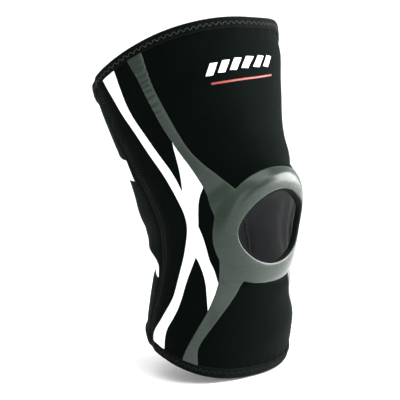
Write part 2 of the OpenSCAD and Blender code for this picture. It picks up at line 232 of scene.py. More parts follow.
def relief(a, s):
    """How far worn fabric stands out from the cut shape, in mm."""
    a = wrapped(a)
    return (worn_ring(a, s) + worn_seam(a, s) + worn_hollow(a, s) + worn_hems(a, s)
            + worn_waves(a, s) + arm_wrinkles(np.abs(a), s))


def leg(a, s, d=0.0):
    """The point at (a, s, d), in metres."""
    a, s = np.broadcast_arrays(np.asarray(a, float), np.asarray(s, float))
    w, front, rear = np.moveaxis(smooth(STATIONS, s), -1, 0)
    d = d + relief(a, s)
    rate = math.radians(THIGH_LEAN + CALF_LEAN) / (2 * BEND_HALF)
    middle = math.radians(THIGH_LEAN - CALF_LEAN) / 2
    c = np.clip(s, -BEND_HALF, BEND_HALF)
    lean = middle + rate * c
    y = (math.cos(middle) - np.cos(lean)) / rate + (s - c) * np.sin(lean)
    z = (np.sin(lean) - math.sin(middle)) / rate + (s - c) * np.cos(lean)
    turn = np.radians(a)
    cosine, sine, e = np.cos(turn), np.sin(turn), 2 / power(s)
    depth = np.where(cosine > 0, front, rear) + d
    f = depth * np.sign(cosine) * np.abs(cosine) ** e
    x = (w + d) * np.sign(sine) * np.abs(sine) ** e
    return np.stack([x, y - f * np.cos(lean), z + f * np.sin(lean)], -1) * MM


def cloth(a, s):
    """Where (a, s) lies on the flat cloth, in mm."""
    a, s = np.broadcast_arrays(np.asarray(a, float), np.asarray(s, float))
    w, front, rear = np.moveaxis(smooth(STATIONS, s), -1, 0)
    return np.stack([np.radians(a) * (w + (front + rear) / 2) / 2, s], -1)


def opening(turn, m=0.0):
    """(a, s) on the edge of the kneecap opening, m outside it, in the direction turn."""
    t = np.radians(turn)
    s = OPENING_S + (OPENING_H + m / 1.3) * np.sin(t)
    x = (OPENING_W + m) * np.cos(t)
    w = smooth(STATIONS, s)[..., 0]
    return np.degrees(np.sign(x) * np.arcsin((np.abs(x) / w) ** (power(s) / 2))), s


# ---- Meshes ----


def add_mesh(name, points, faces, uv, period=None):
    """A smooth-shaded object from points in metres and cloth places in mm, one per point."""
    mesh = bpy.data.meshes.new(name)
    mesh.from_pydata(points.tolist(), [], [list(map(int, f)) for f in faces])
    corners = np.empty(len(mesh.loops), int)
    mesh.loops.foreach_get("vertex_index", corners)
    flat = uv[corners].astype(float)
    if period:
        start = np.empty(len(mesh.polygons), int)
        mesh.polygons.foreach_get("loop_start", start)
        count = np.empty(len(mesh.polygons), int)
        mesh.polygons.foreach_get("loop_total", count)
        face = np.repeat(np.arange(len(start)), count)
        high = np.maximum.reduceat(flat[:, 0], start)
        flat[(high[face] - flat[:, 0]) > period / 2, 0] += period
    mesh.uv_layers.new(name="cloth").data.foreach_set("uv", flat.ravel())
    mesh.shade_smooth()
    mesh.validate()
    obj = bpy.data.objects.new(name, mesh)
    bpy.context.scene.collection.objects.link(obj)
    return obj


def shell(name, a, s, inner, outer, around=False):
    """A closed patch of cloth. a and s are grids of rows (upwards) and columns (towards +X)."""
    rows, cols = a.shape
    points = np.concatenate([leg(a, s, outer).reshape(-1, 3), leg(a, s, inner).reshape(-1, 3)])
    uv = np.tile(cloth(a, s).reshape(-1, 2), (2, 1))
    ids = np.arange(rows * cols).reshape(rows, cols)
    if around:
        ids = np.concatenate([ids, ids[:, :1]], 1)
    sheet = np.stack([ids[:-1, :-1], ids[:-1, 1:], ids[1:, 1:], ids[1:, :-1]], -1).reshape(-1, 4)
    half = rows * cols
    faces = [sheet, sheet[:, ::-1] + half]
    rims = [ids[0, ::-1], ids[-1]]
    if not around:
        rims += [ids[:, 0], ids[::-1, -1]]
    for rim in rims:
        faces.append(np.stack([rim[:-1], rim[1:], rim[1:] + half, rim[:-1] + half], -1))
    return add_mesh(name, points, np.concatenate(faces), uv)


def inside(points, outline):
    """True for each point that lies in the closed outline."""
    x, y = points[:, 0][:, None], points[:, 1][:, None]
    x0, y0 = outline.T
    x1, y1 = np.roll(outline, -1, 0).T
    cross = (y0 > y) != (y1 > y)
    with np.errstate(divide="ignore", invalid="ignore"):
        hit = cross & (x < (x1 - x0) * (y - y0) / (y1 - y0) + x0)
    return hit.sum(1) % 2 == 1


def edge_distance(points, outlines):
    """The distance from each point to the nearest of the closed outlines."""
    best = np.full(len(points), np.inf)
    for outline in outlines:
        p, q = outline, np.roll(outline, -1, 0)
        step = q - p
        length = np.maximum((step**2).sum(1), 1e-12)
        for lo in range(0, len(points), 2000):
            part = points[lo:lo + 2000]
            t = (((part[:, None] - p) * step).sum(2) / length).clip(0, 1)
            gap = np.linalg.norm(part[:, None] - p - t[..., None] * step, axis=2).min(1)
            best[lo:lo + 2000] = np.minimum(best[lo:lo + 2000], gap)
    return best


ASPECT = 1.05  # mm of cloth to a degree, for the outlines' own plane


def even(line, step):
    """Points a step apart along an open line, both ends included."""
    length = np.concatenate([[0], np.cumsum(np.linalg.norm(np.diff(line, axis=0), axis=1))])
    n = max(1, round(length[-1] / step))
    at = np.linspace(0, length[-1], n + 1)
    return np.stack([np.interp(at, length, line[:, k]) for k in range(2)], -1)


def curve(points, step=1.2):
    """A smooth open line through points, as even points."""
    p = np.array(points, float)
    if len(p) < 3:
        return even(p, step)
    key = np.concatenate([[0], np.cumsum(np.linalg.norm(np.diff(p, axis=0), axis=1))])
    fine = smooth(np.column_stack([key, p]), np.linspace(0, key[-1], 24 * len(p)))
    return even(fine, step)


def joined(runs):
    """A closed outline from open runs that follow each other."""
    return np.concatenate([run[:-1] for run in runs])


def within(points, rims):
    """True for each point inside the first outline and outside the others, which are holes."""
    ok = inside(points, rims[0])
    for hole in rims[1:]:
        ok &= ~inside(points, hole)
    return ok


def rim_rows(rims):
    """Two rows of points just inside the outlines, which carry the rounded edge."""
    near, far = 0.3, 0.8
    rows = []
    for inset in (near, far):
        for rim in rims:
            along = np.roll(rim, -1, 0) - np.roll(rim, 1, 0)
            out = np.stack([along[:, 1], -along[:, 0]], -1)
            out /= np.maximum(np.linalg.norm(out, axis=1, keepdims=True), 1e-9)
            rows += [rim - inset * out, rim + inset * out]
    points = np.concatenate(rows)
    points = points[within(points, rims)]
    gap = edge_distance(points, rims)
    return points[(gap > near - 0.04) & ((gap < near + 0.04) | (gap > far - 0.08))]


def field(rims, spacing):
    """Evenly spread points, well inside the outlines."""
    low, high = np.concatenate(rims).min(0), np.concatenate(rims).max(0)
    x, y = np.meshgrid(np.arange(low[0], high[0], spacing), np.arange(low[1], high[1], spacing))
    x = x + (np.arange(x.shape[0])[:, None] % 2) * spacing / 2
    points = np.stack([x.ravel(), y.ravel()], -1)
    points = points[within(points, rims)]
    return points[edge_distance(points, rims) > 1.5]


def filled(rims, points):
    """The places and triangles that fill the outlines, with those points between them."""
    edges, base = [], 0
    for rim in rims:
        edges += [(base + i, base + (i + 1) % len(rim)) for i in range(len(rim))]
        base += len(rim)
    every = np.concatenate([*rims, points])
    verts, _, tris, *_ = delaunay_2d_cdt([Vector(p) for p in every], edges, [], 1, 1e-4)
    place = np.array([tuple(v) for v in verts])
    tris = np.array([t for t in tris if len(t) == 3])
    tris = tris[within(place[tris].mean(1), rims)]
    p, q, r = (place[tris[:, k]] for k in range(3))
    area = np.cross(q - p, r - p)
    whole = np.abs(area) > 1e-7
    tris, area = tris[whole], area[whole]
    tris[area < 0] = tris[area < 0][:, ::-1]
    used, tris = np.unique(tris, return_inverse=True)
    return place[used], tris.reshape(-1, 3)


def bonded(name, outlines, thick, round_off=0.7, spacing=2.2, ripple=0.0):
    """A bonded layer with the outlines' shape: the first is its edge, the others are holes.

    Outlines are (a * ASPECT, s). Its edge is rounded off, and its back lies in the fabric's face.
    ripple is how much of the arms' wrinkles its own face adds to the fabric's."""
    rims = [np.array(o, float) for o in outlines]
    place, tris = filled(rims, np.concatenate([rim_rows(rims), field(rims, spacing)]))
    gap = edge_distance(place, rims)
    rise = np.sqrt(np.clip(1 - (1 - np.minimum(gap / round_off, 1)) ** 2, 0, 1))
    a, s = place[:, 0] / ASPECT, place[:, 1]
    top = leg(a, s, 0.05 + (thick - 0.05 + ripple * arm_wrinkles(np.abs(a), s)) * rise)
    back = leg(a, s, -0.12)
    half = len(place)
    side = np.concatenate([tris[:, [0, 1]], tris[:, [1, 2]], tris[:, [2, 0]]])
    key = {(int(i), int(j)) for i, j in side}
    rim = np.array([(i, j) for i, j in key if (j, i) not in key])
    walls = np.stack([rim[:, 0], rim[:, 0] + half, rim[:, 1] + half, rim[:, 1]], -1)
    faces = [*tris, *(tris[:, ::-1] + half), *walls]
    uv = np.tile(cloth(a, s), (2, 1))
    return add_mesh(name, np.concatenate([top, back]), faces, uv)


def loop(name, sections, uv, period=None):
    """A closed loop of closed sections: an array of sections, points and coordinates."""
    n, m = sections.shape[:2]
    ids = np.arange(n * m).reshape(n, m)
    ids = np.concatenate([ids, ids[:1]])
    ids = np.concatenate([ids, ids[:, :1]], 1)
    faces = np.stack([ids[:-1, :-1], ids[:-1, 1:], ids[1:, 1:], ids[1:, :-1]], -1).reshape(-1, 4)
    return add_mesh(name, sections.reshape(-1, 3), faces, uv.reshape(-1, 2), period)


def threads(name, legs, radius, sides=6):
    """Stitches: each leg is a line of places (a, s, d), swept as a round thread."""
    points, faces, uv = [], [], []
    base = 0
    for path in legs:
        path = np.array(path, float)
        line = leg(path[:, 0], path[:, 1], path[:, 2])
        tangent = np.gradient(line, axis=0)
        tangent /= np.linalg.norm(tangent, axis=1, keepdims=True)
        outward = leg(path[:, 0], path[:, 1], path[:, 2] + 1) - line
        across = np.cross(tangent, outward)
        across /= np.linalg.norm(across, axis=1, keepdims=True)
        lift = np.cross(across, tangent)
        n = len(path)
        turn = np.linspace(0, 2 * math.pi, sides, endpoint=False)
        ring = (line[:, None] + radius * MM * (np.cos(turn)[None, :, None] * across[:, None]
                                               + np.sin(turn)[None, :, None] * lift[:, None]))
        points.append(ring.reshape(-1, 3))
        run = np.arange(n)[:, None] * 1.0 + 0 * turn
        uv.append(np.stack([run, turn + 0 * run], -1).reshape(-1, 2))
        ids = base + np.arange(n * sides).reshape(n, sides)
        wrap = np.concatenate([ids, ids[:, :1]], 1)
        quads = np.stack([wrap[:-1, :-1], wrap[:-1, 1:], wrap[1:, 1:], wrap[1:, :-1]], -1)
        faces += [list(q) for q in quads.reshape(-1, 4)]
        faces += [list(ids[0][::-1]), list(ids[-1])]
        base += n * sides
    return add_mesh(name, np.concatenate(points), faces, np.concatenate(uv))


# ---- Materials ----


class Nodes:
    """Short calls for building one node material."""

    def __init__(self, name, color, roughness, **sockets):
        self.material = bpy.data.materials.new(name)
        self.material.use_nodes = True
        self.tree = self.material.node_tree
        self.shader = self.tree.nodes["Principled BSDF"]
        self.shader.inputs["Base Color"].default_value = (*color, 1)
        self.shader.inputs["Roughness"].default_value = roughness
        for key, value in sockets.items():
            self.shader.inputs[key.replace("_", " ")].default_value = value
        self.uv = self.add("ShaderNodeUVMap", uv_map="cloth").outputs[0]
        self.place = self.add("ShaderNodeTexCoord").outputs["Object"]
        self.height = None

    def add(self, kind, inputs=None, **settings):
        node = self.tree.nodes.new(kind)
        for key, value in settings.items():
            setattr(node, key, value)
        for key, value in (inputs or {}).items():
            self.put(node.inputs[key], value)
        return node

    def put(self, socket, value):
        if isinstance(value, bpy.types.NodeSocket):
            self.tree.links.new(value, socket)
        else:
            socket.default_value = value

    def math(self, operation, a, b=0.0, c=0.0):
        return self.add("ShaderNodeMath", {0: a, 1: b, 2: c}, operation=operation).outputs[0]

    def noise(self, scale, detail=3.0, roughness=0.55, where=None):
        inputs = {"Vector": where or self.place, "Scale": scale, "Detail": detail,
                  "Roughness": roughness}
        return self.add("ShaderNodeTexNoise", inputs).outputs["Fac"]

    def split(self):
        node = self.add("ShaderNodeSeparateXYZ", {0: self.uv})
        return node.outputs[0], node.outputs[1]

    def wave(self, x, period):
        """A smooth wave of x, from 0 to 1, with that period."""
        sine = self.math("SINE", self.math("MULTIPLY", x, 2 * math.pi / period))
        return self.math("MULTIPLY_ADD", sine, 0.5, 0.5)

    def stretched(self, u_scale, v_scale, detail=2.0):
        """Noise drawn out along the cloth, with those scales along u and v per mm."""
        where = self.add("ShaderNodeMapping", {"Vector": self.uv, "Scale": (u_scale, v_scale, 1)})
        return self.noise(1.0, detail, where=where.outputs[0])

    def ramp(self, factor, low, high, from_low=0.0, from_high=1.0):
        """A number from low to high as factor goes over its range."""
        inputs = {"Value": factor, "From Min": from_low, "From Max": from_high,
                  "To Min": low, "To Max": high}
        return self.add("ShaderNodeMapRange", inputs).outputs[0]

    def tint(self, factor, low, high):
        """Sets the base colour, mixed from low to high by factor."""
        node = self.add("ShaderNodeMix", data_type="RGBA")
        self.put(node.inputs[0], factor)
        self.put(node.inputs[6], (*low, 1))
        self.put(node.inputs[7], (*high, 1))
        self.put(self.shader.inputs["Base Color"], node.outputs[2])

    def rough(self, factor, low, high):
        self.put(self.shader.inputs["Roughness"], self.ramp(factor, low, high))

    def bump(self, height, distance, strength=1.0):
        """Adds a bump of that distance in metres to the surface."""
        inputs = {"Height": height, "Distance": distance, "Strength": strength}
        if self.height is not None:
            inputs["Normal"] = self.height
        self.height = self.add("ShaderNodeBump", inputs).outputs[0]
        self.put(self.shader.inputs["Normal"], self.height)


def knit(nodes, wale, course):
    """Height of a plain jersey knit: columns of small V shapes."""
    u, v = nodes.split()
    column = nodes.wave(u, wale)
    lean = nodes.math("MULTIPLY", nodes.math("ABSOLUTE", nodes.math("SUBTRACT", column, 0.5)), course)
    row = nodes.wave(nodes.math("ADD", v, lean), course)
    return nodes.math("MULTIPLY_ADD", row, 0.5, nodes.math("MULTIPLY", column, 0.5))


def jersey_material():
    m = Nodes("black_jersey", (0.0016, 0.0030, 0.0025), 0.6, Sheen_Weight=0.02, Sheen_Roughness=0.4,
              Sheen_Tint=(0.75, 1.0, 0.92, 1), Specular_IOR_Level=0.004)
    loops = knit(m, 0.9, 0.7)
    patchy = m.noise(38, 4)
    m.tint(m.math("MULTIPLY_ADD", loops, 0.5, m.math("MULTIPLY", patchy, 0.5)),
           (0.0004, 0.0009, 0.0007), (0.0021, 0.0036, 0.0030))
    m.rough(patchy, 0.50, 0.68)
    m.bump(m.noise(95, 3), 0.00025, 0.6)
    m.bump(loops, 0.00012, 0.7)
    return m.material


def lining_material():
    m = Nodes("charcoal_lining", (0.02, 0.022, 0.025), 0.9, Sheen_Weight=0.3, Sheen_Roughness=0.6,
              Specular_IOR_Level=0.2)
    loops = knit(m, 1.3, 1.0)
    m.tint(m.math("MULTIPLY_ADD", loops, 0.6, m.math("MULTIPLY", m.noise(60), 0.4)),
           (0.014, 0.016, 0.018), (0.050, 0.054, 0.060))
    m.bump(m.noise(900, 2), 0.0003, 0.7)
    m.bump(loops, 0.0003, 0.6)
    return m.material


def foam_material():
    m = Nodes("foam_core", (0.012, 0.013, 0.013), 0.85, Specular_IOR_Level=0.3)
    cells = m.add("ShaderNodeTexVoronoi", {"Vector": m.place, "Scale": 2600.0}).outputs["Distance"]
    m.tint(cells, (0.008, 0.009, 0.009), (0.022, 0.024, 0.024))
    m.bump(cells, 0.0003, 0.8)
    return m.material


def tape_material(name, low, high):
    m = Nodes(name, low, 0.7, Sheen_Weight=0.03, Sheen_Roughness=0.4, Specular_IOR_Level=0.01)
    u, v = m.split()
    ribs = m.wave(u, 0.8)
    weft = m.wave(m.math("MULTIPLY_ADD", u, 0.5, v), 0.9)
    weave = m.math("MULTIPLY", ribs, weft)
    m.tint(m.math("MULTIPLY_ADD", weave, 0.6, m.math("MULTIPLY", m.noise(120), 0.4)), low, high)
    m.rough(m.noise(45), 0.6, 0.8)
    m.bump(weave, 0.00022, 0.8)
    return m.material


def thread_material(name, low, high):
    m = Nodes(name, low, 0.55, Sheen_Weight=0.04, Specular_IOR_Level=0.03)
    u, v = m.split()
    twist = m.wave(m.math("MULTIPLY_ADD", u, 1.4, v), 1.1)
    m.tint(m.math("MULTIPLY_ADD", twist, 0.6, m.math("MULTIPLY", m.noise(300), 0.4)), low, high)
    m.bump(twist, 0.00012, 0.8)
    return m.material


def grey_material():
    m = Nodes("grey_elastomer", (0.020, 0.028, 0.022), 0.24, Specular_IOR_Level=0.30)
    crinkle = m.stretched(0.09, 0.42)
    m.tint(m.math("MULTIPLY_ADD", crinkle, 0.5, m.math("MULTIPLY", m.noise(26, 4), 0.5)),
           (0.0060, 0.0120, 0.0078), (0.0230, 0.0365, 0.0275))
    m.rough(m.noise(70, 3), 0.19, 0.30)
    m.bump(crinkle, 0.0004, 0.35)
    m.bump(m.noise(420, 3), 0.00010, 0.4)
    m.bump(knit(m, 0.9, 0.7), 0.00004, 0.5)
    return m.material


def white_material():
    m = Nodes("white_elastomer", (0.90, 0.905, 0.90), 0.5, Specular_IOR_Level=0.4)
    m.tint(m.noise(40, 4), (0.86, 0.865, 0.86), (0.93, 0.935, 0.93))
    m.rough(m.noise(90, 3), 0.42, 0.58)
    m.bump(m.noise(500, 3), 0.00008, 0.5)
    m.bump(knit(m, 0.9, 0.7), 0.00004, 0.5)
    return m.material


def print_material(name, low, high):
    m = Nodes(name, low, 0.5, Specular_IOR_Level=0.4)
    m.tint(m.noise(150, 4), low, high)
    m.bump(knit(m, 0.9, 0.7), 0.00008, 0.7)
    return m.material


def label_material():
    m = Nodes("white_label", (0.74, 0.75, 0.73), 0.45, Sheen_Weight=0.2, Specular_IOR_Level=0.5)
    u, v = m.split()
    satin = m.wave(m.math("MULTIPLY_ADD", u, 0.25, v), 0.5)
    m.tint(m.math("MULTIPLY_ADD", satin, 0.5, m.math("MULTIPLY", m.noise(80), 0.5)),
           (0.64, 0.65, 0.63), (0.82, 0.82, 0.80))
    m.bump(satin, 0.0001, 0.5)
    return m.material


JERSEY, LINING, FOAM = jersey_material(), lining_material(), foam_material()
HEM_TAPE = tape_material("black_tape", (0.0010, 0.0016, 0.0014), (0.0044, 0.0064, 0.0054))
BINDING = tape_material("black_binding", (0.0020, 0.0025, 0.0025), (0.0060, 0.0075, 0.0075))
LIGHT_THREAD = thread_material("light_thread", (0.020, 0.026, 0.024), (0.056, 0.067, 0.063))
DARK_THREAD = thread_material("dark_thread", (0.004, 0.006, 0.0055), (0.011, 0.014, 0.013))
SEAM_THREAD = thread_material("seam_thread", (0.003, 0.0048, 0.0042), (0.0085, 0.012, 0.0105))
GREY, WHITE = grey_material(), white_material()
WHITE_PRINT = print_material("white_print", (0.78, 0.79, 0.78), (0.90, 0.90, 0.89))
RED_PRINT = print_material("red_print", (0.16, 0.013, 0.010), (0.24, 0.022, 0.017))
LABEL = label_material()

# ---- Pieces: what each is made of, and what it follows ----


def dress(obj, material, slot, *nodes, body=None):
    """Gives a piece its material, hides its CAD nodes, and ties it to a body, or else bakes its place
    into its points. slot is not used.
    """
    obj.data.materials.append(material)
    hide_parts(*nodes)
    if body:
        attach(obj, body)
    else:
        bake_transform(obj)
    return obj


def zones(name):
    return [f"{zone}_{name}" for zone in ("thigh", "knee", "calf")]


# ---- Fabric panels ----

CLOTH_STEP = 2.6  # mm between points along a panel's edge
FRONT_H, BACK_H = 250.0, 240.0  # about how high the panels are
FRONT_WIDE, BACK_WIDE = 1.2, 1.15  # mm to a degree along their hems
FAN_ROWS, FAN_CROWD = 44, 1.25  # rows from the opening outwards, closer together near it
FAN_H = 125.0  # half the front panel's height, which evens out the fan's directions
BUTT_GAP = 0.15  # half of the gap between two butted panels, degrees
CUT = 0.9  # the fabric's cut width over its width when worn


def front_panel_grid():
    """Rows of a fan from the opening's edge to the panel's edge."""
    up = np.linspace(0, 1, round(FRONT_H / CLOTH_STEP))
    low, high = float(calf_edge(SEAM_BACK)), float(thigh_edge(SEAM_BACK))
    s_side = low + (high - low) * up
    side = np.stack([seam_at(s_side) - BUTT_GAP, s_side], -1)
    across = np.linspace(-1, 1, round(2 * SEAM_BACK * FRONT_WIDE / CLOTH_STEP))
    top = across * (seam_at(high) - BUTT_GAP)
    bottom = across * (seam_at(low) - BUTT_GAP)
    other_side = side * (-1, 1)
    outline = np.concatenate([
        other_side[:-1],
        np.stack([top, thigh_edge(top)], -1)[:-1],
        side[::-1][:-1],
        np.stack([bottom, calf_edge(bottom)], -1)[::-1][:-1],
    ])
    turn = np.degrees(np.arctan2((outline[:, 1] - OPENING_S) / FAN_H, outline[:, 0] / SEAM_BACK))
    start = np.stack(opening(turn), -1)
    t = np.linspace(0, 1, FAN_ROWS) ** FAN_CROWD
    grid = start[None] + (outline - start)[None] * t[:, None, None]
    grid = grid[:, ::-1]
    return grid[::-1, :, 0], grid[::-1, :, 1]


def back_panel_grid():
    """Rows from the calf hem to the thigh hem, between the two side seams."""
    up = np.linspace(0, 1, round(BACK_H / CLOTH_STEP))
    low, high = float(calf_edge(SEAM_BACK)), float(thigh_edge(SEAM_BACK))
    nominal = low + (high - low) * up
    edge = seam_at(nominal) + BUTT_GAP
    across = np.linspace(0, 1, round((360 - 2 * SEAM_BACK) * BACK_WIDE / CLOTH_STEP))
    a = edge[:, None] + (360 - 2 * edge)[:, None] * across
    bottom, top = calf_edge(a), thigh_edge(a)
    return a, bottom + (top - bottom) * up[:, None]


def grid_rim(grid):
    """The outline of a grid, once round."""
    return np.concatenate([grid[0], grid[1:, -1], grid[-1, -2::-1], grid[-2:0:-1, 0]])


def cut_size(rim, window=0.0):
    """The flat size and area that a panel was cut to, in metres, from its outline when worn."""
    x, y = rim.T
    area = abs(x @ np.roll(y, -1) - y @ np.roll(x, -1)) / 2 - window
    return (np.ptp(x) * CUT * MM, np.ptp(y) * MM), area * CUT * MM * MM


def make_panels():
    plies = (
        ("jersey", -PLY, 0.0, JERSEY, "jersey"),
        ("foam", -PLY - CORE, -PLY, FOAM, "foam_core"),
        ("lining", -WALL, -PLY - CORE, LINING, "lining"),
    )
    front, back = front_panel_grid(), back_panel_grid()
    window = math.pi * OPENING_W * OPENING_H * 1.3
    panels = (
        ("front", front, True, cut_size(cloth(front[0][0], front[1][0]), window)),
        ("back", back, False, cut_size(grid_rim(cloth(*back)))),
    )
    for side, grid, around, (size, area) in panels:
        for ply, inner, outer, material, slot in plies:
            piece = shell(f"{side}_panel_{ply}", *grid, inner, outer, around)
            dress(piece, material, slot, *zones(f"{side}_{ply}"))


make_panels()

# ---- Bonded bands ----


def flat(points):
    """(angle, height) points in the outlines' own plane."""
    return np.array(points, float) * (ASPECT, 1)


def mirrored(runs):
    """The same runs on the other side of the leg, in the order that closes the outline."""
    return [run[::-1] * (-1, 1) for run in runs[::-1]]


def hem_end(far, near, edge, way):
    """The end of a band, under the hem's tape: from the far angle to the near one."""
    a = np.linspace(far, near, 8)
    return even(flat(np.stack([a, edge(a) - way * (HEM_W - 0.8)], -1)), 1.2)


def place_of_end(angle, edge, way):
    """(angle, height) of a band's corner under the hem's tape."""
    return angle, float(edge(angle) - way * (HEM_W - 0.8))


def ring_place(turn):
    """(angle, height) on the grey ring's outer oval."""
    t = np.radians(turn)
    return RING_ANGLE * np.cos(t), OPENING_S + (RING_H - 0.8) * np.sin(t)


def ring_arc(turn_from, turn_to):
    """A stretch of the grey ring's outer oval."""
    return even(flat(np.stack(ring_place(np.linspace(turn_from, turn_to, 60)), -1)), 1.2)


# The edge of a calf arm that faces the shin, from the ring to the hem, on each side.
CALF_ARM_FRONT = {
    "outer": [(28.5, -45), (33.5, -54), (40, -63), (49.5, -76.5), (54, -84), (56, -91)],
    "inner": [(34, -45), (37, -54), (42, -63), (50, -76), (54.5, -84), (56, -91)],
}
ARM_TURN, CALF_ARM_TURN = 47.0, {"outer": -66.5, "inner": -59.0}  # where the arms leave the oval


def web_side(where):
    """One side of the web's outline, from its upper notch to its lower one."""
    front = CALF_ARM_FRONT[where]
    return [
        curve(flat([ring_place(ARM_TURN), (50, 31), (57, 43), (60, 58), (62, 84), (64, 106),
                    place_of_end(66, thigh_edge, 1)])),
        hem_end(76, 66, thigh_edge, 1)[::-1],
        curve(flat([place_of_end(76, thigh_edge, 1), (72, 114), (70.3, 96), (69.5, 80), (68, 64),
                    (66, 45), (64.1, 26.5), (63, 15), (60.3, 6)])),
        curve(flat([(60.3, 6), (61.6, -2), (60.7, -10), (57.2, -17), (52.8, -22.5)])),
        curve(flat([(52.8, -22.5), (50, -30.5), (47.8, -38.2), (48.7, -47.6), (52, -59),
                    (59, -73), (65, -85), place_of_end(71.4, calf_edge, -1)])),
        hem_end(71.4, 55, calf_edge, -1),
        curve(flat([place_of_end(55, calf_edge, -1), *front[::-1], ring_place(CALF_ARM_TURN[where])])),
    ]


def make_grey_web():
    """The ring and its four arms, one moulded web."""
    low = CALF_ARM_TURN
    outline = joined([ring_arc(180 - ARM_TURN, ARM_TURN)] + web_side("inner")
                     + [ring_arc(low["inner"], -180 - low["outer"])] + mirrored(web_side("outer")))
    turn = np.linspace(0, 360, 150, endpoint=False)
    hole = flat(np.stack(opening(turn, -0.15), -1))
    web = bonded("grey_web", [outline, hole], GREY_T, round_off=0.8, spacing=1.2, ripple=1.2)
    nodes = ["grey_patella_ring"]
    for where in ("outer", "inner"):
        nodes += [f"grey_arm_roots_{where}", f"grey_thigh_arm_{where}", f"grey_calf_arm_{where}"]
    dress(web, GREY, "grey_elastomer", *nodes)


def make_white_cross(where, way):
    """The white bands that cross beside the knee and run on to both hems."""
    crotch, tip, corner = (74, -20), (51.5, -58.6), (47.4, -38.2)
    waist, notch, peak, fork = (73.1, 1.5), (63.9, 26.9), (67.9, 64), (79.5, 27.6)
    runs = [
        curve(flat([place_of_end(97, thigh_edge, 1), (93, 110), (91, 94), (89.5, 73), (87, 47),
                    (84.7, 22), (82, 3), (84.5, -16), (88, -37), (90.4, -54), (96, -69),
                    (100.3, -76.5), place_of_end(108.3, calf_edge, -1)])),
        hem_end(108.3, 91.3, calf_edge, -1),
        curve(flat([place_of_end(91.3, calf_edge, -1), (91, -84.5), (89.5, -75.5), (84.6, -66.5),
                    (81, -57), (78.6, -38), crotch])),
        curve(flat([crotch, (71, -23), (62.8, -33.3), (57.9, -41), (53.9, -51), tip])),
        curve(flat([tip, (48.4, -47.6), corner])),
        curve(flat([corner, (50.3, -34.9), (55, -29.2), (61.7, -22), (66, -14), waist])),
        curve(flat([waist, (71.5, 16), (68.6, 22), notch])),
        curve(flat([notch, (65.9, 44.5), peak])),
        curve(flat([peak, (72.5, 47.4), fork])),
        curve(flat([fork, (80, 43), (82, 61), (84, 78), (85.4, 91), place_of_end(86, thigh_edge, 1)])),
        hem_end(97, 86, thigh_edge, 1)[::-1],
    ]
    outline = joined(runs)
    if way < 0:
        outline = outline[::-1] * (-1, 1)
    cross = bonded(f"white_bands_{where}", [outline], WHITE_T, round_off=0.5)
    nodes = [f"white_{part}_{where}" for part in ("cross", "thigh_arm", "calf_arm")]
    dress(cross, WHITE, "white_elastomer", *nodes)


# The lower and the upper edge of each band on the back, from the side seam to the middle.
BACK_BANDS = {
    "white_back_upper": ([(115.2, 53.2), (124.4, 57.5), (142, 69), (166, 84), (180, 88)],
                         [(114.3, 70.8), (121, 74.1), (136, 84.5), (160, 98), (180, 102)]),
    "white_back_lower": ([(110.5, -39.5), (119, -36), (140, -22), (162, -9), (180, -5)],
                         [(112.5, -28.5), (118, -22), (134, -9), (158, 3), (180, 8)]),
}


def make_back_bands():
    """White chevrons on the back panel."""
    for name, (low, high) in BACK_BANDS.items():
        low, high = curve(flat(low)), curve(flat(high))
        low_far, high_far = (run[::-1] * (-1, 1) + (360 * ASPECT, 0) for run in (low, high))
        end = even(np.stack([high[0], low[0]]), 1.2)
        end_far = even(np.stack([low_far[-1], high_far[-1]]), 1.2)
        outline = joined([low, low_far, end_far, high_far[::-1], high[::-1], end])
        dress(bonded(f"{name}_band", [outline], WHITE_T, round_off=0.5), WHITE, "white_elastomer", name)


make_grey_web()
make_white_cross("inner", 1)
make_white_cross("outer", -1)
make_back_bands()

# ---- Hems ----

HEM_COLUMNS = 300
ZIGZAG_NEAR, ZIGZAG_FAR, ZIGZAG_PITCH, ZIGZAG_R = 2.4, 5.1, 5.4, 0.24  # from the edge, and along it


def hem_profile():
    """The folded tape's section, as (mm into the panel from its edge, d), rounded at the fold."""
    turn = np.linspace(0, math.pi, 13)
    half = WALL / 2 + HEM_T
    fold = np.stack([-HEM_T * 1.6 * np.sin(turn), -WALL / 2 + half * np.cos(turn)], -1)
    outer = [(HEM_W, 0.02), (HEM_W - 0.1, HEM_T * 0.6), (HEM_W - 0.6, HEM_T * 0.95),
             (HEM_W * 0.6, HEM_T * 1.15), (HEM_W * 0.3, HEM_T * 1.25), (0.8, HEM_T * 1.05)]
    inner = [(0.8, -WALL - HEM_T), (HEM_W * 0.5, -WALL - HEM_T), (HEM_W - 0.5, -WALL - HEM_T * 0.9),
             (HEM_W, -WALL - 0.1), (1.0, -WALL + 0.3), (1.0, -0.3)]
    return np.array(outer + fold.tolist() + inner)


def make_hem(name, edge, way):
    """A tape folded over an edge. way is 1 at the thigh and -1 at the calf."""
    a = np.linspace(0, 360, HEM_COLUMNS, endpoint=False) * way
    profile = hem_profile()
    s = edge(a)[:, None] - way * profile[:, 0]
    sections = leg(a[:, None] + 0 * s, s, profile[:, 1] + 0 * s)
    around = cloth(a[:, None] + 0 * s, s + 0 * a[:, None])[..., 0]
    length = np.concatenate([[0], np.cumsum(np.linalg.norm(np.diff(profile, axis=0), axis=1))])
    uv = np.stack([around, length + 0 * around], -1)
    period = float(abs(cloth(360.0, edge(0.0))[0]))
    hem = loop(f"{name}_hem_tape", sections, uv, period)
    dress(hem, HEM_TAPE, "hem_tape", f"{name}_hem", body=name)


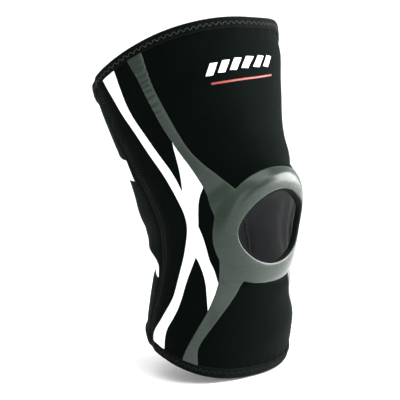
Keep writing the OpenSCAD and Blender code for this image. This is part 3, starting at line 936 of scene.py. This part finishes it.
def zigzag(edge, way, top):
    """Legs of a zigzag round a hem, as lines of places. Each dips into the tape at both ends."""
    girth = float(abs(cloth(360.0, edge(0.0))[0]))
    n = 2 * round(girth / ZIGZAG_PITCH)
    legs = []
    for i in range(n):
        t = np.linspace(0.02, 0.98, 7)
        a = 360 * (i + t) / n
        across = t if i % 2 == 0 else 1 - t
        d = top + 0.28 * np.sin(math.pi * t) - 0.5 * (np.abs(t - 0.5) > 0.45)
        from_edge = ZIGZAG_NEAR + (ZIGZAG_FAR - ZIGZAG_NEAR) * across
        legs.append(np.stack([a, edge(a) - way * from_edge, d], -1))
    return legs


def make_hem_stitching(name, edge, way, material, slot):
    """The zigzag that holds a hem's tape."""
    top = HEM_T * 1.15
    stitches = threads(f"{name}_hem_zigzag", zigzag(edge, way, top), ZIGZAG_R)
    dress(stitches, material, slot, f"{name}_hem_stitching", body=name)


make_hem("thigh", thigh_edge, 1)
make_hem("calf", calf_edge, -1)
make_hem_stitching("thigh", thigh_edge, 1, LIGHT_THREAD, "hem_thread")
make_hem_stitching("calf", calf_edge, -1, DARK_THREAD, "dark_thread")

# ---- Side seams ----

SEAM_PITCH, SEAM_HALF, SEAM_R = 2.3, 2.4, 0.24  # mm along it, degrees to each needle row, mm


def make_seam(where, way):
    """A flat seam: two rows of needle stitches and the threads that cross between them."""
    low, high = float(calf_edge(SEAM_BACK)) + HEM_W, float(thigh_edge(SEAM_BACK)) - HEM_W
    legs = []
    n = round((high - low) / SEAM_PITCH)
    for i in range(n):
        s0 = low + (high - low) * i / n
        t = np.linspace(0, 1, 6)
        s = s0 + SEAM_PITCH * t
        for sign in (-1, 1):
            a = way * seam_at(s) + sign * SEAM_HALF * (1 - 2 * t)
            legs.append(np.stack([a, s, 0.22 + 0.3 * np.sin(math.pi * t)], -1))
            rail = way * seam_at(s) + sign * SEAM_HALF
            legs.append(np.stack([rail, s, 0.12 + 0.25 * np.sin(math.pi * t)], -1))
    seam = threads(f"side_seam_{where}", legs, SEAM_R, sides=5)
    dress(seam, SEAM_THREAD, "seam_thread", *zones(f"seam_{where}"))


make_seam("inner", 1)
make_seam("outer", -1)

# ---- The kneecap opening ----


def make_binding():
    """Black edging rolled over the opening's cut edge."""
    turn = np.linspace(180, -180, 200, endpoint=False)
    half = WALL / 2 + 0.25
    t = np.linspace(0, math.pi, 11)
    roll = np.stack([-1.6 * np.sin(t), -WALL / 2 + half * np.cos(t)], -1)
    profile = np.array([(BIND_W, 0.02), (BIND_W - 0.2, 0.30), (0.5, 0.38)] + roll.tolist()
                       + [(1.0, -WALL - 0.4), (BIND_W, -WALL - 0.1), (0.4, -WALL / 2)])
    rows = []
    for m, d in profile:
        a, s = opening(turn, m)
        rows.append(leg(a, s, d + 0 * a))
    sections = np.stack(rows, 1)
    length = np.concatenate([[0], np.cumsum(np.linalg.norm(np.diff(profile, axis=0), axis=1))])
    around = np.radians(180 - turn) * (OPENING_W + OPENING_H * 1.3) / 2
    uv = np.stack(np.broadcast_arrays(around[:, None], length), -1)
    period = 2 * math.pi * (OPENING_W + OPENING_H * 1.3) / 2
    binding = loop("opening_edging", sections, uv, period)
    dress(binding, BINDING, "binding_tape", "opening_binding")


make_binding()


OPENING_STITCHES = 76


def make_opening_stitching():
    """One row of stitches that holds the binding."""
    legs = []
    for i in range(OPENING_STITCHES):
        turn = 360 * (i + np.linspace(0.1, 0.9, 6)) / OPENING_STITCHES
        a, s = opening(turn, BIND_W * 0.55)
        rise = np.sin(np.linspace(0, math.pi, 6))
        legs.append(np.stack([a, s, 0.30 + 0.25 * rise], -1))
    stitches = threads("opening_stitch_row", legs, 0.17, sides=5)
    dress(stitches, DARK_THREAD, "dark_thread", "opening_stitching")


def inflate(pad, held, pressure, frames, most):
    """Blows the pad's free cloth up between its held points, by no more than most, in metres."""
    group = pad.vertex_groups.new(name="held")
    group.add([int(i) for i in held], 1.0, "REPLACE")
    soft = pad.modifiers.new("cloth", "CLOTH")
    soft.settings.vertex_group_mass = "held"
    soft.settings.use_pressure = True
    soft.settings.uniform_pressure_force = pressure
    soft.settings.effector_weights.gravity = 0
    soft.settings.tension_stiffness = soft.settings.compression_stiffness = 5
    soft.point_cache.frame_end = frames
    for now in range(1, frames + 1):
        bpy.context.scene.frame_set(now)
    done = pad.evaluated_get(bpy.context.evaluated_depsgraph_get()).data
    start, end = (np.empty(len(pad.data.vertices) * 3) for _ in range(2))
    pad.data.vertices.foreach_get("co", start)
    done.vertices.foreach_get("co", end)
    move = (end - start).reshape(-1, 3)
    far = np.linalg.norm(move, axis=1, keepdims=True)
    move *= np.minimum(1, most / np.maximum(far, 1e-9))
    pad.modifiers.remove(soft)
    pad.vertex_groups.remove(group)
    pad.data.vertices.foreach_set("co", start + move.ravel())
    pad.data.update()
    bpy.context.scene.frame_set(1)


PAD_ANGLE, PAD_H, PAD_T = 52.0, 31.5, 2.2
PAD_PRESSURE, PAD_FRAMES, PAD_MOST = 4.0, 16, 2.0


def make_buttress():
    """The foam ring inside. Its cloth is held on the lining's side and blown up on the leg's."""
    turn = np.linspace(180, -180, 160, endpoint=False)
    t = np.linspace(0, 2 * math.pi, 20, endpoint=False)
    near, far = opening(turn, 3.6), (PAD_ANGLE * np.cos(np.radians(turn)),
                                     OPENING_S + PAD_H * np.sin(np.radians(turn)))
    rows = []
    for u, lift in zip((1 - np.cos(t)) / 2, np.sin(t)):
        a, s = (n + (f - n) * u for n, f in zip(near, far))
        rows.append(leg(a, s, -WALL - 0.45 - PAD_T * (1 - lift) / 2 + 0 * turn))
    sections = np.stack(rows, 1)
    around = np.radians(180 - turn) * 45
    uv = np.stack(np.broadcast_arrays(around[:, None], 8 * t), -1)
    pad = loop("buttress_pad", sections, uv, 2 * math.pi * 45)
    on_lining = np.tile(np.sin(t) > -0.1, len(turn))
    inflate(pad, np.flatnonzero(on_lining), PAD_PRESSURE, PAD_FRAMES, PAD_MOST * MM)
    dress(pad, LINING, "buttress_foam", "patella_buttress")


make_opening_stitching()
make_buttress()

# ---- Print and label ----


PRINT_FROM, PRINT_S, PRINT_RISE = -29.0, 103.0, 0.16
BAR_COUNT, BAR_PITCH, BAR_HALF, BAR_LEAN, BAR_H = 6, 8.0, 2.4, 4.0, 9.0
LINE_TO, LINE_S, LINE_RISE, LINE_H = 18.0, 96.0, 7.4, 1.6
PRINT_T = 0.22


def bar(foot):
    """The outline of a leaning bar whose foot is centred on that angle."""
    low = PRINT_S + PRINT_RISE * (foot - PRINT_FROM)
    corners = [(foot - BAR_HALF, low), (foot + BAR_HALF, low),
               (foot + BAR_LEAN + BAR_HALF, low + BAR_H), (foot + BAR_LEAN - BAR_HALF, low + BAR_H)]
    return joined([even(flat([corners[i], corners[(i + 1) % 4]]), 1.5) for i in range(4)])


def make_print():
    """Plain leaning bars and a thin red line, printed on the front of the thigh."""
    bars = [bar(PRINT_FROM + BAR_PITCH * k) for k in range(BAR_COUNT)]
    pieces = [bonded(f"bar_{k}", [b], PRINT_T, round_off=0.3, spacing=3) for k, b in enumerate(bars)]
    bpy.ops.object.select_all(action="DESELECT")
    for piece in pieces:
        piece.select_set(True)
    bpy.context.view_layer.objects.active = pieces[0]
    bpy.ops.object.join()
    marks = bpy.context.view_layer.objects.active
    marks.name = "printed_bars"
    dress(marks, WHITE_PRINT, "white_print", "print_bars", body="thigh")
    t = np.linspace(0, 1, 12)
    along = np.stack([PRINT_FROM + (LINE_TO - PRINT_FROM) * t, LINE_S + LINE_RISE * t * t], -1)
    low, high = curve(flat(along)), curve(flat(along + (0, LINE_H)))
    line = joined([low, even(np.stack([low[-1], high[-1]]), 0.8), high[::-1],
                   even(np.stack([high[0], low[0]]), 0.8)])
    dress(bonded("printed_line", [line], PRINT_T, round_off=0.3, spacing=3), RED_PRINT, "red_print",
          "print_line", body="thigh")


LABEL_W, LABEL_H, LABEL_ANGLE = 32.0, 26.0, 22.0  # the angle is its width, seen from the leg


def make_label():
    """A blank cloth label, sewn inside at the back of the thigh hem."""
    top = float(thigh_edge(180)) - HEM_W - 0.5
    across = 180 + LABEL_ANGLE * np.linspace(-0.5, 0.5, 20)
    s, a = np.meshgrid(np.linspace(top - LABEL_H, top, 20), across, indexing="ij")
    hang = 1.2 * ((top - s) / LABEL_H) ** 2
    label = shell("blank_label", a, s, -WALL - 0.75 - hang, -WALL - 0.45 - hang)
    dress(label, LABEL, "label_cloth", "care_label", body="thigh")


make_print()
make_label()

# ---- Stage: a pale floor that sweeps up behind, and soft lights ----


def make_stage():
    """The floor and the wall behind, in one sheet that sweeps up."""
    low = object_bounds()[0].z - 0.0006
    near, bend, sweep, high = -2.5, 1.2, 0.9, 4.0
    turns = np.linspace(0, math.pi / 2, 16)[1:]
    curl = [(bend + sweep * math.sin(t), sweep * (1 - math.cos(t))) for t in turns]
    run = [(near, 0.0), (bend, 0.0), *curl, (bend + sweep, high)]
    az = math.radians(CAMERA_AZIMUTH)
    away, aside = np.array([-math.sin(az), math.cos(az)]), np.array([math.cos(az), math.sin(az)])
    points = [(*(away * d + aside * w), low + h) for d, h in run for w in (-4, 4)]
    faces = [(2 * i, 2 * i + 1, 2 * i + 3, 2 * i + 2) for i in range(len(run) - 1)]
    mesh = bpy.data.meshes.new("backdrop")
    mesh.from_pydata(points, [], faces)
    mesh.shade_smooth()
    backdrop = bpy.data.objects.new("backdrop", mesh)
    bpy.context.scene.collection.objects.link(backdrop)
    paper = bpy.data.materials.new("pale_paper")
    paper.use_nodes = True
    shader = paper.node_tree.nodes["Principled BSDF"]
    shader.inputs["Base Color"].default_value = (0.93, 0.93, 0.93, 1)
    shader.inputs["Roughness"].default_value = 0.9
    shader.inputs["Specular IOR Level"].default_value = 0.1
    mesh.materials.append(paper)


def make_light(name, place, size, power, target=(0, 0, 0)):
    """A square soft light. place and target are (aside, height, near), seen from the camera."""
    az = math.radians(CAMERA_AZIMUTH)
    right, back = Vector((math.cos(az), math.sin(az), 0)), Vector((math.sin(az), -math.cos(az), 0))
    up = Vector((0, 0, 1))
    place, target = (right * v[0] + up * v[1] + back * v[2] for v in (place, target))
    data = bpy.data.lights.new(name, "AREA")
    data.size, data.energy = size, power
    light = bpy.data.objects.new(name, data)
    light.location = place
    light.rotation_mode = "QUATERNION"
    light.rotation_quaternion = (target - place).to_track_quat("-Z", "Y")
    bpy.context.scene.collection.objects.link(light)


def make_world():
    world = bpy.data.worlds.new("studio")
    world.use_nodes = True
    world.node_tree.nodes["Background"].inputs["Color"].default_value = (1, 1, 1, 1)
    world.node_tree.nodes["Background"].inputs["Strength"].default_value = 0.52
    bpy.context.scene.world = world


make_stage()
make_world()
make_light("key", (0.60, 0.80, 0.70), 0.8, 4.5)
make_light("front", (-0.35, 0.15, 1.15), 1.0, 6.6)
make_light("side", (0.91, 0.22, -0.10), 0.78, 34.0)
make_light("rim", (-0.95, -0.45, 0.35), 0.6, 3.0)
make_light("backdrop", (0.0, 1.7, 0.2), 2.0, 45.0, target=(0.0, 0.4, -2.2))
bpy.context.scene.view_settings.view_transform = "Standard"
